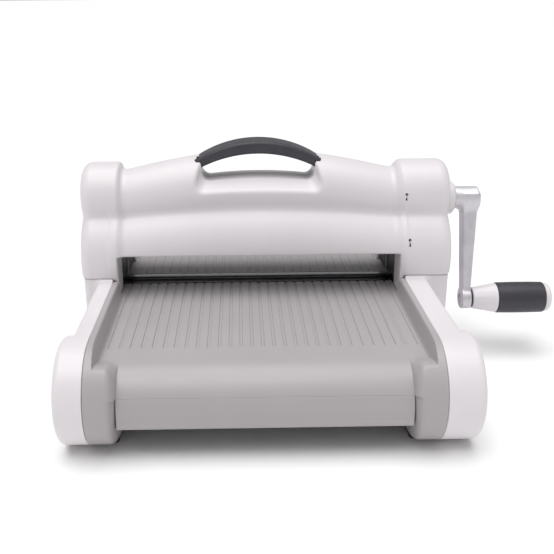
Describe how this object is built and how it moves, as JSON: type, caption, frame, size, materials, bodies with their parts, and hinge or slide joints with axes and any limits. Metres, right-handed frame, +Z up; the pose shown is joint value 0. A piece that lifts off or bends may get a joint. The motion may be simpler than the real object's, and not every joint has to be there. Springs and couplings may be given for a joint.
{
  "type": "manual die cutting machine",
  "caption": "Hand-cranked roller die cutting machine with a geared pair of rollers in a carrying tower between two grooved trays.",
  "frame": {"origin": "middle of the overall width and depth, crank included, at table level", "axes": "+Z up, +X towards the crank side along the roller axes, +Y towards the rear tray"},
  "size_m": [0.4014, 0.3854, 0.1872],
  "materials": {
    "white_shell": "satin moulded ABS, warm white",
    "grey_tray": "satin moulded ABS, mid grey",
    "dark_grip": "soft-touch, fine grain",
    "core_plastic": "moulded",
    "black_steel": "black powder coat",
    "black_roller": "black oxide, polished by use",
    "plain_steel": "turned",
    "screw_steel": "zinc plated",
    "gear_steel": "sintered, oiled",
    "bronze": "sintered bronze, oiled",
    "crank_silver": "silver lacquer on a casting",
    "black_washer": "moulded nylon",
    "white_knob": "satin moulded, warm white",
    "foot_rubber": "soft non-slip"
  },
  "bodies": {
    "frame": {"front_housing": "white_shell", "rear_housing": "white_shell", "left_side_cover": "white_shell", "right_side_cover": "white_shell", "shaft_collar": "white_shell", "front_tray": "grey_tray", "rear_tray": "grey_tray", "front_nose_cover": "grey_tray", "rear_nose_cover": "grey_tray", "base_plate": "black_steel", "handle_grip": "dark_grip", "handle_core": "core_plastic", "left_side_plate": "black_steel", "right_side_plate": "black_steel", "gear_plate": "black_steel", "tie_rod_upper_front": "plain_steel", "tie_rod_upper_rear": "plain_steel", "tie_rod_lower_front": "plain_steel", "tie_rod_lower_rear": "plain_steel", "gear_plate_spacers": "plain_steel", "left_frame_screws": "screw_steel", "gear_plate_screws": "screw_steel", "base_screws": "screw_steel", "lower_roller_bush_left": "bronze", "lower_roller_bush_right": "bronze", "upper_roller_bush_left": "bronze", "upper_roller_bush_right": "bronze", "upper_roller_bush_outer": "bronze", "crank_bush_outer": "bronze", "crank_bush_inner": "bronze", "front_left_foot": "foot_rubber", "front_right_foot": "foot_rubber", "rear_left_foot": "foot_rubber", "rear_right_foot": "foot_rubber"},
    "crank": {"crank_shaft": "plain_steel", "crank_pinion": "gear_steel", "crank_arm": "crank_silver", "crank_screw": "screw_steel", "knob_spindle": "plain_steel", "knob_washer": "black_washer"},
    "knob": {"knob_core": "white_knob", "knob_grip": "dark_grip", "knob_cap": "white_knob"},
    "upper_roller": {"upper_roller": "black_roller", "upper_roller_gear": "gear_steel", "drive_gear": "gear_steel", "upper_roller_clip": "screw_steel"},
    "lower_roller": {"lower_roller": "black_roller", "lower_roller_gear": "gear_steel", "lower_roller_clip": "screw_steel"}
  },
  "joints": [
    {"name": "crank_turn", "type": "hinge", "parent": "frame", "child": "crank", "pos_m": [0.09775, 0, 0.1345], "axis": [1, 0, 0], "continuous": true},
    {"name": "upper_roller_turn", "type": "hinge", "parent": "frame", "child": "upper_roller", "pos_m": [-0.05225, 0, 0.1015], "axis": [1, 0, 0], "continuous": true},
    {"name": "lower_roller_turn", "type": "hinge", "parent": "frame", "child": "lower_roller", "pos_m": [-0.05225, 0, 0.0495], "axis": [1, 0, 0], "continuous": true},
    {"name": "knob_spin", "type": "hinge", "parent": "crank", "child": "knob", "pos_m": [0.09775, -0.02278, 0.0495], "axis": [1, 0, 0], "continuous": true}
  ],
  "couplings": [
    {"joint": "upper_roller_turn", "follows": "crank_turn", "ratio": -0.5},
    {"joint": "lower_roller_turn", "follows": "crank_turn", "ratio": 0.5}
  ]
}
